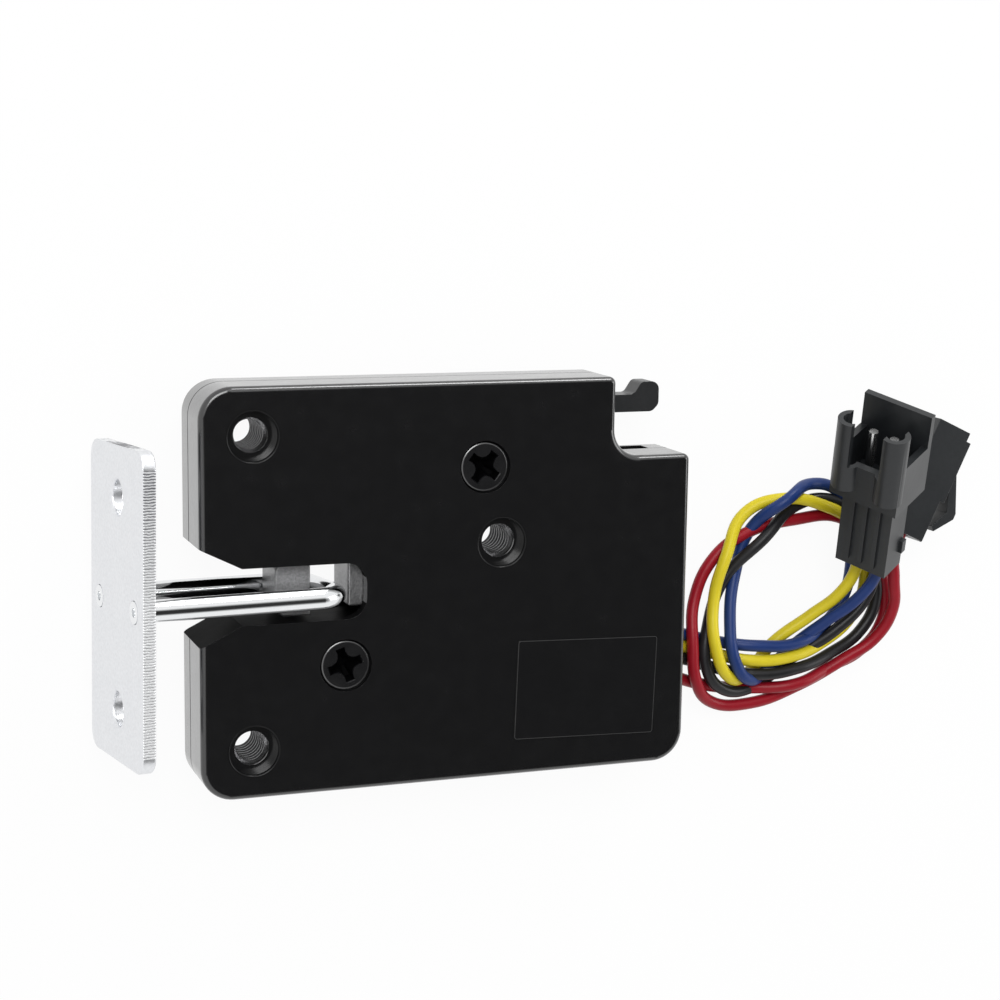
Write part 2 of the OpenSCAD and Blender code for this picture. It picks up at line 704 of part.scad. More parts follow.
// Routes of the four wires, from inside the grommet to the connector that each ends in
red_route = [[50.5, 8.2, 2.4], [53.6, 8.2, 2.4], [56, 7, 0.9], [60, 5.8, 0.75], [65, 5.2, 0.8], [70, 5.6, 2.2],
    [75, 7, 1], [79, 8.6, 0.75], [81.6, 11.6, 0.75], [82, 15.6, 0.75], [80.6, 19.4, 0.75], [78.4, 22.4, 0.75],
    [75.5, 24.4, 0.75], [70, 24.4, 0.75], [64, 23.2, 0.75], [60, 20.6, 0.75], [57.6, 16, 0.9], [56.9, 11, 2.3],
    [57.4, 7, 2.3], [60, 4, 1], [65, 3.4, 0.75], [71, 5, 0.75], [76.4, 7.9, 1.6], [80.2, 10.4, 2.2],
    [81.7, 13.8, 3.1], [81.1, 17.6, 4.1], [80.8, 20.8, 4.35], [82.2, 24.2, 4.35]];
black_route = [[50.5, 9.8, 2.4], [53.6, 9.8, 2.4], [56.5, 9.2, 0.9], [60, 8, 0.75], [65, 7.1, 2.2], [70, 7.4, 2.2],
    [75, 8.6, 1], [79, 11, 0.75], [80.8, 14.6, 0.75], [80.2, 18.4, 0.75], [78.4, 22, 0.75], [76.9, 25, 0.75],
    [74.4, 26.5, 0.75], [70, 26, 0.75], [65.4, 22.6, 2], [61.4, 18.2, 0.75], [59, 13, 1.6], [58.6, 8.6, 2.3],
    [61, 5.6, 1.6], [65, 5.2, 0.75], [70, 8.2, 0.75], [75.4, 11.9, 2.1], [78.6, 15, 2.2],
    [80, 18, 1.9], [80.9, 21.2, 1.85], [82.2, 24.2, 1.85]];
yellow_route = [[50.5, 11.4, 2.4], [53.6, 11.4, 2.4], [56.5, 10.6, 0.9], [60, 9.6, 0.75], [64, 8.8, 2.2],
    [69, 8.8, 2.2], [74, 10, 1], [77.6, 12.6, 0.75], [79.2, 16.2, 0.75], [78.6, 20.2, 0.75], [76.8, 23.8, 0.75],
    [73, 26, 1.9], [68, 27, 1.6], [63.6, 25.4, 0.75], [60.8, 21, 2.1], [59.4, 16, 2.1], [59.4, 10.4, 3.2],
    [61.6, 7, 2.4], [64.4, 6.8, 0.75], [67.6, 10.2, 0.75], [72, 13.4, 1.6], [74.9, 15.9, 2.7], [76.4, 18.6, 3.4],
    [75.95, 21.8, 4.85]];
blue_route = [[50.5, 13, 2.4], [53.6, 13, 2.4], [56.5, 12, 0.9], [60, 11, 0.75], [65, 10.4, 2.2], [70, 10.4, 2.2],
    [74, 12, 1], [76.6, 15.2, 0.75], [77.4, 19.4, 0.75], [77.2, 23.6, 0.75], [75.4, 27.3, 0.75], [72, 28.4, 0.75],
    [67.6, 27, 2.9], [64.4, 23.6, 0.75], [62.6, 18.6, 0.75], [61.4, 13.4, 2.3], [61.8, 9, 3.2],
    [64, 6.6, 2.4], [66.8, 7, 0.75], [70.5, 10.2, 1.2], [73.6, 12.9, 2.6], [76.2, 15.4, 4.2], [77.8, 18.2, 5.4],
    [77.35, 21.1, 6.85]];

module wire_red() {
    color([0.65, 0.11, 0.17]) placed() tube(red_route, wire_r, 8);
}

module wire_black() {
    color([0.1, 0.1, 0.1]) placed() tube(black_route, wire_r, 8);
}

module wire_yellow() {
    color([0.85, 0.79, 0.2]) placed() tube(yellow_route, wire_r, 8);
}

module wire_blue() {
    color([0.14, 0.26, 0.5]) placed() tube(blue_route, wire_r, 8);
}

// The pin plug leans over the socket, with its guides towards the strike side
module pin_housing_placed() {
    placed() translate([76.9, 20.15, 5.2]) rotate([46.5, 51.4, 154.3]) children();
}

// The socket lies beside it on the surface, with its latch towards the cable side
module socket_housing_placed() {
    placed() translate([81.6, 22.9, 3.1]) rotate([0, 0, -25]) rotate([-90, 0, 0]) rotate([0, 0, -90]) children();
}

plug_w = 8.2;
plug_d = 6.6;
plug_l = 19.8;
plug_wall = 0.8;
shroud_z = 9.8;
tail_w = 6.2;
tail_d = 3.6;
side_drop = 4;
pin_pitch = 2.5;
wire_hole_r = 0.95;

// Two-way plug: a narrow tail with the wire holes and a wide open shroud
module pin_housing() {
    guide_x = 2.6;
    guide_y = plug_d / 2 - 0.6;
    guide_r = 1.6;
    guide_bore_r = 1;
    guide_z = 11.2;
    slot_half = guide_x - guide_bore_r + 0.3;
    panel_l = 4.6;
    rib_w = 0.5;
    nub = 0.8;
    room_z = shroud_z + 1.4;
    color([0.17, 0.17, 0.18]) pin_housing_placed() difference() {
        union() {
            translate([-tail_w / 2, -tail_d / 2, 0]) cube([tail_w, tail_d, shroud_z + tiny]);
            translate([-plug_w / 2, -plug_d / 2, shroud_z]) cube([plug_w, plug_wall, plug_l - shroud_z]);
            translate([-plug_w / 2, -plug_d / 2, shroud_z]) cube([plug_w, plug_d, plug_l - side_drop - shroud_z]);
            for (x = [-guide_x, guide_x]) translate([x, guide_y, guide_z]) cylinder(r = guide_r, h = plug_l - guide_z);
            for (x = [-1.6, 0, 1.6]) translate([x - rib_w / 2, tail_d / 2 - tiny, 1]) cube([rib_w, 0.4, shroud_z - 1]);
            translate([-tail_w / 2 - nub / 2, -tail_d / 2, 2]) cube([nub, nub, 1.6]);
        }
        for (x = [-pin_pitch / 2, pin_pitch / 2]) translate([x, 0, -cut]) cylinder(r = wire_hole_r, h = plug_l);
        translate([-plug_w / 2 + plug_wall, -plug_d / 2 + plug_wall, room_z])
            cube([plug_w - 2 * plug_wall, plug_d - plug_wall - 0.9, plug_l]);
        for (x = [-guide_x, guide_x])
            translate([x, guide_y, guide_z + 1.4]) cylinder(r = guide_bore_r, h = plug_l);
        translate([-slot_half, guide_y - 0.4, shroud_z + panel_l]) cube([2 * slot_half, guide_r + 1, plug_l]);
    }
}

module header_pins() {
    color([0.85, 0.85, 0.86]) pin_housing_placed()
        for (x = [-pin_pitch / 2, pin_pitch / 2]) translate([x, 0, 4]) {
            cylinder(r = wire_hole_r - 0.02, h = 3);
            cylinder(r = 0.5, h = 13.2);
        }
}

socket_w = 6;
socket_d = 5;
socket_l = 13.4;

// Two-way socket with a sprung latch arm along one side
module socket_housing() {
    arm_w = 3.6;
    step_l = 5;
    step_d = 0.6;
    color([0.17, 0.17, 0.18]) socket_housing_placed() difference() {
        union() {
            translate([-socket_w / 2, -socket_d / 2, 0]) cube([socket_w, socket_d - step_d, socket_l]);
            translate([-socket_w / 2, -socket_d / 2, step_l]) cube([socket_w, socket_d, socket_l - step_l - 1]);
            translate([-socket_w / 2 + 1, -socket_d / 2, 0]) cube([socket_w - 2, socket_d, 0.9]);
            translate([-arm_w / 2, 0, 0]) rotate([90, 0, 90]) linear_extrude(arm_w)
                polygon([[socket_d / 2 - 0.2, 9.4], [3, 9.2], [5.3, 4.6], [5.3, 3.9], [3.5, 1.7], [3, 2.2],
                    [4.1, 4.3], [3, 7], [socket_d / 2 - 0.2, 8]]);
        }
        for (x = [-pin_pitch / 2, pin_pitch / 2])
            translate([x, 0, -cut]) cylinder(r = wire_hole_r, h = socket_l + 2 * cut);
    }
}

module socket_contacts() {
    color([0.85, 0.85, 0.86]) socket_housing_placed()
        for (x = [-pin_pitch / 2, pin_pitch / 2]) translate([x, 0, 4]) difference() {
            cylinder(r = wire_hole_r - 0.02, h = 8.4);
            translate([0, 0, 2]) cylinder(r = 0.6, h = 8);
        }
}

back_shell();
front_shell();
cover_screw_upper();
cover_screw_lower();
latch_fork();
fork_pivot_pin();
fork_spring();
release_lever();
lever_pivot_pin();
solenoid_yoke();
coil_bobbin();
coil_winding();
solenoid_core();
plunger();
plunger_link_pin();
plunger_spring();
signal_switch();
switch_button();
switch_terminals();
wire_grommet();
rating_label();
strike_plate();
strike_shackle();
wire_red();
wire_black();
wire_yellow();
wire_blue();
pin_housing();
header_pins();
socket_housing();
socket_contacts();
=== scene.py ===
import json
import math

import bmesh
import bpy
from mathutils import Matrix, Vector


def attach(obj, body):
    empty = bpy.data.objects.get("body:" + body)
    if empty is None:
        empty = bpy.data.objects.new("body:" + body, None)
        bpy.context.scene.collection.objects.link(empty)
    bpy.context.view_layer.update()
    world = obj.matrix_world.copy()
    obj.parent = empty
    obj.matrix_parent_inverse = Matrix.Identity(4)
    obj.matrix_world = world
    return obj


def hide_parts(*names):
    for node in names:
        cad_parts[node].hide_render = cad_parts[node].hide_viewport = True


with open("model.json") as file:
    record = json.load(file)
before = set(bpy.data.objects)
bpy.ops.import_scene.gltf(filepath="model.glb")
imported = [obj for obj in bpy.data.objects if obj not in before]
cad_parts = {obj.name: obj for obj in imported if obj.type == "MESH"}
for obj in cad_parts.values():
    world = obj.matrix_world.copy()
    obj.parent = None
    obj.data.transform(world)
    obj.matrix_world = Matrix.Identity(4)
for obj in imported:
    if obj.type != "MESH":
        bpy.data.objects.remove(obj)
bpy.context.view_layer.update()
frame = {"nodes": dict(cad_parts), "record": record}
nodes = frame["nodes"]

# Camera: looks down on the lock from the strike side, a little from above the
# release lever, through a short telephoto lens.
def at(x, y, z):
    """A point given in millimetres from the housing's lower strike-side corner."""
    return Vector(((x - 31.75) / 1000, (y - 25.1) / 1000, z / 1000))


camera_data = bpy.data.cameras.new("studio_camera")
camera_data.lens = 76.76
camera_data.sensor_width = 36
camera_data.clip_start = 0.005
camera = bpy.data.objects.new("studio_camera", camera_data)
bpy.context.scene.collection.objects.link(camera)
looking = Vector((0.34369, -0.16396, -0.92466)).normalized()
upward = Vector((0.04353, 0.98636, -0.15873)).normalized()
rightward = looking.cross(upward).normalized()
turned = Matrix((rightward, upward, -looking)).transposed().to_4x4()
camera.matrix_world = Matrix.Translation(at(-44.148, 65.624, 211.85)) @ turned
bpy.context.scene.camera = camera

# Four wires: stranded copper in smooth PVC, red, black, yellow and blue. They leave
# the grommet side by side, run one and a half turns of a loose loop and end in the plugs.
def material(name, colour, roughness, metallic=0.0):
    """A new material, with its shader and its node tree."""
    made = bpy.data.materials.new(name)
    made.use_nodes = True
    tree = made.node_tree
    shader = tree.nodes["Principled BSDF"]
    shader.inputs["Base Color"].default_value = (*colour, 1)
    shader.inputs["Roughness"].default_value = roughness
    shader.inputs["Metallic"].default_value = metallic
    return made, shader, tree


def new_group(name, inputs, outputs):
    """An empty shader node group with named sockets, its in node and its out node."""
    group = bpy.data.node_groups.new(name, "ShaderNodeTree")
    for label, kind, value in inputs:
        socket = group.interface.new_socket(label, in_out="INPUT", socket_type=kind)
        socket.default_value = value
    for label, kind in outputs:
        group.interface.new_socket(label, in_out="OUTPUT", socket_type=kind)
    return group, group.nodes.new("NodeGroupInput"), group.nodes.new("NodeGroupOutput")


def surface_grain():
    """Mottles a colour and a roughness and gives a fine bump, by noise at a set scale."""
    group, taken, given = new_group(
        "surface grain",
        [
            ("Colour", "NodeSocketColor", (0.5, 0.5, 0.5, 1)),
            ("Light", "NodeSocketColor", (0.6, 0.6, 0.6, 1)),
            ("Scale", "NodeSocketFloat", 2000),
            ("Smooth", "NodeSocketFloat", 0.3),
            ("Rough", "NodeSocketFloat", 0.5),
            ("Relief", "NodeSocketFloat", 0.1),
            ("Depth", "NodeSocketFloat", 0.00005),
        ],
        [
            ("Colour", "NodeSocketColor"), ("Roughness", "NodeSocketFloat"),
            ("Normal", "NodeSocketVector"),
        ],
    )
    link = group.links.new
    place = group.nodes.new("ShaderNodeTexCoord")
    fine = group.nodes.new("ShaderNodeTexNoise")
    fine.inputs["Detail"].default_value = 4
    link(place.outputs["Object"], fine.inputs["Vector"])
    link(taken.outputs["Scale"], fine.inputs["Scale"])
    broad_scale = group.nodes.new("ShaderNodeMath")
    broad_scale.operation = "MULTIPLY"
    broad_scale.inputs[1].default_value = 0.12
    link(taken.outputs["Scale"], broad_scale.inputs[0])
    broad = group.nodes.new("ShaderNodeTexNoise")
    broad.inputs["Detail"].default_value = 3
    link(place.outputs["Object"], broad.inputs["Vector"])
    link(broad_scale.outputs[0], broad.inputs["Scale"])
    tone = group.nodes.new("ShaderNodeMix")
    tone.data_type = "RGBA"
    link(fine.outputs["Fac"], tone.inputs["Factor"])
    link(taken.outputs["Colour"], tone.inputs["A"])
    link(taken.outputs["Light"], tone.inputs["B"])
    link(tone.outputs["Result"], given.inputs["Colour"])
    gloss = group.nodes.new("ShaderNodeMix")
    link(broad.outputs["Fac"], gloss.inputs["Factor"])
    link(taken.outputs["Smooth"], gloss.inputs["A"])
    link(taken.outputs["Rough"], gloss.inputs["B"])
    link(gloss.outputs["Result"], given.inputs["Roughness"])
    bump = group.nodes.new("ShaderNodeBump")
    link(taken.outputs["Relief"], bump.inputs["Strength"])
    link(taken.outputs["Depth"], bump.inputs["Distance"])
    link(fine.outputs["Fac"], bump.inputs["Height"])
    link(bump.outputs["Normal"], given.inputs["Normal"])
    return group


grain_group = surface_grain()


def grained(name, dark, light, scale, smooth, rough, relief, depth, metallic=0.0):
    """A material whose colour, gloss and bump come from the surface grain group."""
    made, shader, tree = material(name, dark, rough, metallic)
    grain = tree.nodes.new("ShaderNodeGroup")
    grain.node_tree = grain_group
    grain.inputs["Colour"].default_value = (*dark, 1)
    grain.inputs["Light"].default_value = (*light, 1)
    grain.inputs["Scale"].default_value = scale
    grain.inputs["Smooth"].default_value = smooth
    grain.inputs["Rough"].default_value = rough
    grain.inputs["Relief"].default_value = relief
    grain.inputs["Depth"].default_value = depth
    tree.links.new(grain.outputs["Colour"], shader.inputs["Base Color"])
    tree.links.new(grain.outputs["Roughness"], shader.inputs["Roughness"])
    tree.links.new(grain.outputs["Normal"], shader.inputs["Normal"])
    return made, shader, tree


WIRE_RADIUS = 0.00068


def wire(name, insulation, route):
    """A wire as a smooth curve through its route's points."""
    curve = bpy.data.curves.new(name + "_insulation", "CURVE")
    curve.dimensions = "3D"
    curve.resolution_u = 8
    curve.bevel_depth = WIRE_RADIUS
    curve.bevel_resolution = 5
    curve.use_fill_caps = True
    spline = curve.splines.new("BEZIER")
    spline.bezier_points.add(len(route) - 1)
    for bead, place in zip(spline.bezier_points, route):
        bead.co = at(*place)
        bead.handle_left_type = bead.handle_right_type = "AUTO"
    made = bpy.data.objects.new(name + "_insulation", curve)
    bpy.context.scene.collection.objects.link(made)
    made.data.materials.append(insulation)
    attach(made, "lock_body")
    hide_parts(name)
    return made


red_pvc, red_shader, _ = grained(
    "red PVC", (0.27, 0.006, 0.014), (0.34, 0.009, 0.02), 900, 0.28, 0.4, 0.12, 0.00003
)
black_pvc, black_shader, _ = grained(
    "black PVC", (0.012, 0.012, 0.013), (0.022, 0.022, 0.024), 900, 0.25, 0.38, 0.12, 0.00003
)
yellow_pvc, yellow_shader, _ = grained(
    "yellow PVC", (0.66, 0.54, 0.018), (0.74, 0.62, 0.027), 900, 0.28, 0.4, 0.12, 0.00003
)
blue_pvc, blue_shader, _ = grained(
    "blue PVC", (0.011, 0.032, 0.14), (0.016, 0.044, 0.18), 900, 0.28, 0.4, 0.12, 0.00003
)
for soft_shader in (red_shader, black_shader, yellow_shader, blue_shader):
    soft_shader.inputs["IOR"].default_value = 1.32

red_route = [
    (50.5, 8.2, 2.4), (53.6, 8.2, 2.4), (56, 7, 0.9), (60, 5.8, 0.75), (65, 5.2, 0.8), (70, 5.6, 2.2),
    (75, 7, 1), (79, 8.6, 0.75), (81.6, 11.6, 0.75), (82, 15.6, 0.75), (80.6, 19.4, 0.75),
    (78.4, 22.4, 0.75), (75.5, 24.4, 0.75), (70, 24.4, 0.75), (64, 23.2, 0.75), (60, 20.6, 0.75),
    (57.6, 16, 0.9), (56.9, 11, 2.3), (57.4, 7, 2.3), (60, 4, 1), (65, 3.4, 0.75), (71, 5, 0.75),
    (76.4, 7.9, 1.6), (80.2, 10.4, 2.2), (81.7, 13.8, 3.1), (81.1, 17.6, 4.1), (80.8, 20.8, 4.35),
    (82.2, 24.2, 4.35),
]
black_route = [
    (50.5, 9.8, 2.4), (53.6, 9.8, 2.4), (56.5, 9.2, 0.9), (60, 8, 0.75), (65, 7.1, 2.2), (70, 7.4, 2.2),
    (75, 8.6, 1), (79, 11, 0.75), (80.8, 14.6, 0.75), (80.2, 18.4, 0.75), (78.4, 22, 0.75),
    (76.9, 25, 0.75), (74.4, 26.5, 0.75), (70, 26, 0.75), (65.4, 22.6, 2), (61.4, 18.2, 0.75),
    (59, 13, 1.6), (58.6, 8.6, 2.3), (61, 5.6, 1.6), (65, 5.2, 0.75), (70, 8.2, 0.75), (75.4, 11.9, 2.1),
    (78.6, 15, 2.2), (80, 18, 1.9), (80.9, 21.2, 1.85), (82.2, 24.2, 1.85),
]
yellow_route = [
    (50.5, 11.4, 2.4), (53.6, 11.4, 2.4), (56.5, 10.6, 0.9), (60, 9.6, 0.75), (64, 8.8, 2.2),
    (69, 8.8, 2.2), (74, 10, 1), (77.6, 12.6, 0.75), (79.2, 16.2, 0.75), (78.6, 20.2, 0.75),
    (76.8, 23.8, 0.75), (73, 26, 1.9), (68, 27, 1.6), (63.6, 25.4, 0.75), (60.8, 21, 2.1), (59.4, 16, 2.1),
    (59.4, 10.4, 3.2), (61.6, 7, 2.4), (64.4, 6.8, 0.75), (67.6, 10.2, 0.75), (72, 13.4, 1.6),
    (74.9, 15.9, 2.7), (76.4, 18.6, 3.4), (75.95, 21.8, 4.85),
]
blue_route = [
    (50.5, 13, 2.4), (53.6, 13, 2.4), (56.5, 12, 0.9), (60, 11, 0.75), (65, 10.4, 2.2), (70, 10.4, 2.2),
    (74, 12, 1), (76.6, 15.2, 0.75), (77.4, 19.4, 0.75), (77.2, 23.6, 0.75), (75.4, 27.3, 0.75),
    (72, 28.4, 0.75), (67.6, 27, 2.9), (64.4, 23.6, 0.75), (62.6, 18.6, 0.75), (61.4, 13.4, 2.3),
    (61.8, 9, 3.2), (64, 6.6, 2.4), (66.8, 7, 0.75), (70.5, 10.2, 1.2), (73.6, 12.9, 2.6),
    (76.2, 15.4, 4.2), (77.8, 18.2, 5.4), (77.35, 21.1, 6.85),
]
red_wire = wire("wire_red", red_pvc, red_route)
black_wire = wire("wire_black", black_pvc, black_route)
yellow_wire = wire("wire_yellow", yellow_pvc, yellow_route)
blue_wire = wire("wire_blue", blue_pvc, blue_route)

# Plugs: two moulded nylon wire connectors, an open shroud with two pins and a socket
# with a spring latch. Each is moulded in one piece and crimped contacts click into it.
def dressed(node, finish, width, segments=2, angle=28, reshape=None):
    """A merged copy of a CAD piece with softly broken edges, which stands for it."""
    mesh = nodes[node].data.copy()
    shape = bmesh.new()
    shape.from_mesh(mesh)
    bmesh.ops.remove_doubles(shape, verts=shape.verts, dist=0.000002)
    bmesh.ops.dissolve_limit(
        shape, angle_limit=math.radians(0.6), verts=shape.verts, edges=shape.edges, delimit=set()
    )
    if reshape:
        reshape(shape)
    mesh.materials.clear()
    for material_used in finish:
        mesh.materials.append(material_used)
    shape.to_mesh(mesh)
    shape.free()
    made = bpy.data.objects.new(node + "_finished", mesh)
    bpy.context.scene.collection.objects.link(made)
    for face in mesh.polygons:
        face.use_smooth = True
    mesh.set_sharp_from_angle(angle=math.radians(angle))
    if width:
        edges = made.modifiers.new("broken edges", "BEVEL")
        edges.width = width
        edges.segments = segments
        edges.limit_method = "ANGLE"
        edges.angle_limit = math.radians(angle)
        edges.harden_normals = True
        edges.use_clamp_overlap = True
    level = made.modifiers.new("flat faces stay flat", "WEIGHTED_NORMAL")
    level.keep_sharp = True
    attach(made, next(name for name, listed in bodies.items() if node in listed))
    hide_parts(node)
    return made


bodies = frame["record"]["behaviour"]["bodies"]
nylon, _, _ = grained(
    "grey-black nylon", (0.009, 0.0105, 0.012), (0.016, 0.018, 0.02), 1500, 0.3, 0.44, 0.25, 0.00003
)
tin, _, _ = grained(
    "tin plate", (0.78, 0.78, 0.77), (0.85, 0.85, 0.85), 4000, 0.18, 0.32, 0.1, 0.00001, 1.0
)
pin_plug = dressed("pin_housing", (nylon,), 0.00015)
socket_plug = dressed("socket_housing", (nylon,), 0.00015)


def refinished(finishes):
    """Gives CAD pieces that are shown as they are their finishes."""
    for name, finish in finishes:
        nodes[name].data.materials.clear()
        nodes[name].data.materials.append(finish)


refinished((("header_pins", tin), ("socket_contacts", tin)))

# Housing: two zinc die castings with a satin black coating, closed by two screws.
# The coating runs softly over the rims of the holes. Painted shade: the rims get a darker,
# less reflective copy of the coating, and the walls inside the slot a still darker, duller one.
HOLES = ((5.45, 5), (5.45, 37), (31.75, 25.1))
COVER_FACE = 8.5
RELIEF_MADE, RELIEF_DRAWN = 0.00245, 0.0025
BORE_MADE, BORE_DRAWN = 0.00165, 0.00178


def widened(shape, radius, grown):
    """Sets the points at one radius round each fastening hole out to another."""
    for x, y in HOLES:
        centre = at(x, y, 0)
        for point in shape.verts:
            away = Vector((point.co.x - centre.x, point.co.y - centre.y))
            if abs(away.length - radius) < 0.00003:
                point.co.x = centre.x + away.x * grown / away.length
                point.co.y = centre.y + away.y * grown / away.length


def shade_slot_walls(shape):
    """Gives the faces inside the shackle slot the second material, a copy of the coating darkened as
    painted shade.
    """
    low, high = at(-0.5, 15.7, 0), at(17.3, 26, 0)
    for face in shape.faces:
        middle = face.calc_center_median()
        inside = low.x < middle.x < high.x and low.y < middle.y < high.y
        if inside and abs(face.normal.z) < 0.3 and abs(face.normal.y) > 0.3:
            face.material_index = 1


def front_reshape(shape):
    """Widens and rounds the reliefs over the holes, gives the rounded rims a darker, less reflective copy
    of the coating as painted shade, and paints shade on the slot's walls.
    """
    widened(shape, RELIEF_MADE, RELIEF_DRAWN)
    rims = []
    for edge in shape.edges:
        middle = (edge.verts[0].co + edge.verts[1].co) / 2
        if abs(middle.z - COVER_FACE / 1000) < 0.00001 and min(
            abs((edge.verts[0].co - at(x, y, COVER_FACE)).length - RELIEF_DRAWN) for x, y in HOLES
        ) < 0.00002:
            rims.append(edge)
    rounded = bmesh.ops.bevel(
        shape, geom=rims, offset=0.00026, segments=4, profile=0.5, affect="EDGES"
    )
    shape.normal_update()
    for face in rounded["faces"]:
        if face.normal.z < 0.995:
            face.material_index = 2
    shade_slot_walls(shape)


def back_reshape(shape):
    """Widens the threaded bores to the thread's root and paints shade on the slot's walls."""
    widened(shape, BORE_MADE, BORE_DRAWN)
    shade_slot_walls(shape)


coat, coat_shader, _ = grained(
    "satin black coating", (0.0032, 0.0032, 0.0036), (0.0065, 0.0065, 0.007), 5200, 0.2, 0.3, 0.15, 0.00002
)
coat_shader.inputs["Coat Weight"].default_value = 0.7
coat_shader.inputs["Coat Roughness"].default_value = 0.13
coat_shader.inputs["Coat IOR"].default_value = 1.7
# Painted shade: a darker copy of the coating with a weak reflection, for the walls inside the slot and the
# screws' cross recesses.
shade_coat, shade_coat_shader, _ = grained(
    "black coating in painted shade", (0.001, 0.001, 0.0012), (0.0025, 0.0025, 0.0028), 3000, 0.36, 0.5, 0.4, 0.00004
)
shade_coat_shader.inputs["IOR"].default_value = 1.06
# Painted shade: a darker copy of the coating with a weaker reflection, for the rounded rims of the
# reliefs.
rim_shade_coat, rim_shade_shader, _ = grained(
    "black coating dimmed as painted shade", (0.0015, 0.0015, 0.0017), (0.003, 0.003, 0.0033), 3000, 0.2, 0.3, 0.3, 0.00003
)
rim_shade_shader.inputs["IOR"].default_value = 1.3
front = dressed("front_shell", (coat, shade_coat, rim_shade_coat), 0.00012, 2, 32, front_reshape)
back = dressed("back_shell", (coat, shade_coat), 0.00012, 2, 32, back_reshape)


def notch_fillet(name, face, inward):
    """The soft edge that follows the curve of the lever's notch, on one outer face."""
    notch_x, notch_y, notch_radius, softness = 47.1, 36.4, 3.4, 0.6
    shape = bmesh.new()
    rows = []
    for rise in range(6):
        lean = math.radians(18 * rise)
        radius = notch_radius - softness * math.sin(lean)
        height = face + inward * softness * (1 - math.cos(lean))
        rows.append([
            shape.verts.new(at(
                notch_x + radius * math.cos(math.radians(180 + 7.5 * turn)),
                notch_y + radius * math.sin(math.radians(180 + 7.5 * turn)), height,
            ))
            for turn in range(13)
        ])
    for upper, lower in zip(rows, rows[1:]):
        for step in range(12):
            shape.faces.new((upper[step], upper[step + 1], lower[step + 1], lower[step]))
    corner = shape.verts.new(at(notch_x - notch_radius, notch_y - notch_radius, face))
    for first, second in zip(rows[0], rows[0][1:]):
        shape.faces.new((corner, second, first))
    shape.normal_update()
    shape.faces.ensure_lookup_table()
    if shape.faces[-1].normal.z * inward > 0:
        bmesh.ops.reverse_faces(shape, faces=shape.faces)
    mesh = bpy.data.meshes.new(name)
    shape.to_mesh(mesh)
    shape.free()
    mesh.materials.append(coat)
    for face_made in mesh.polygons:
        face_made.use_smooth = True
    made = bpy.data.objects.new(name, mesh)
    bpy.context.scene.collection.objects.link(made)
    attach(made, "lock_body")


notch_fillet("front_notch_fillet", COVER_FACE, -1)
notch_fillet("back_notch_fillet", 0, 1)

# Threads: the three fastening holes are tapped M4 through the back casting's bosses,
# so each wall is a fine screw thread in bare metal.
def thread(name, x, y):
    """A turned run of thread crests that lines one hole."""
    pitch, turns, low = 0.0007, 9, 0.0003
    root, crest = 0.00177, 0.00151
    shape = bmesh.new()
    outline = []
    for turn in range(turns):
        outline += [
            (root, low + turn * pitch), (crest, low + (turn + 0.44) * pitch),
            (crest, low + (turn + 0.56) * pitch),
        ]
    outline.append((root, low + turns * pitch))
    corners = [shape.verts.new((radius, 0, height)) for radius, height in outline]
    for first, second in zip(corners, corners[1:]):
        shape.edges.new((first, second))
    bmesh.ops.spin(
        shape, geom=shape.verts[:] + shape.edges[:], cent=(0, 0, 0), axis=(0, 0, 1),
        angle=math.tau, steps=40, use_merge=True,
    )
    bmesh.ops.remove_doubles(shape, verts=shape.verts, dist=0.000001)
    bmesh.ops.recalc_face_normals(shape, faces=shape.faces)
    bmesh.ops.reverse_faces(shape, faces=shape.faces)
    bmesh.ops.translate(shape, verts=shape.verts, vec=at(x, y, 0))
    mesh = bpy.data.meshes.new(name)
    shape.to_mesh(mesh)
    shape.free()
    mesh.materials.append(thread_finish)
    made = bpy.data.objects.new(name, mesh)
    bpy.context.scene.collection.objects.link(made)
    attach(made, "lock_body")


thread_finish, _, _ = grained(
    "cut thread", (0.16, 0.16, 0.165), (0.5, 0.5, 0.505), 3000, 0.18, 0.3, 0.1, 0.00002, 1.0
)
for name, (x, y) in zip(("lower_thread", "upper_thread", "middle_thread"), HOLES):
    thread(name, x, y)

# Cover screws: countersunk cross-head screws in blackened steel, turned down flush
# with the front casting.
black_steel, black_steel_shader, _ = grained(
    "blackened steel", (0.004, 0.004, 0.0045), (0.009, 0.009, 0.01), 3500, 0.14, 0.26, 0.3, 0.00002
)
black_steel_shader.inputs["IOR"].default_value = 2.1


def cross_outline(reach, width, waist, angle):
    """Corners of a cross whose four arms widen softly into its middle."""
    corners = []
    for quarter in range(4):
        turn = math.radians(90 * quarter + angle)
        for along, across in (
            (waist, -waist), (reach * 0.5, -width * 0.56), (reach * 0.75, -width * 0.44),
            (reach, -width * 0.5), (reach, width * 0.5), (reach * 0.75, width * 0.44),
            (reach * 0.5, width * 0.56),
        ):
            corners.append((
                along * math.cos(turn) - across * math.sin(turn),
                along * math.sin(turn) + across * math.cos(turn),
            ))
    return corners


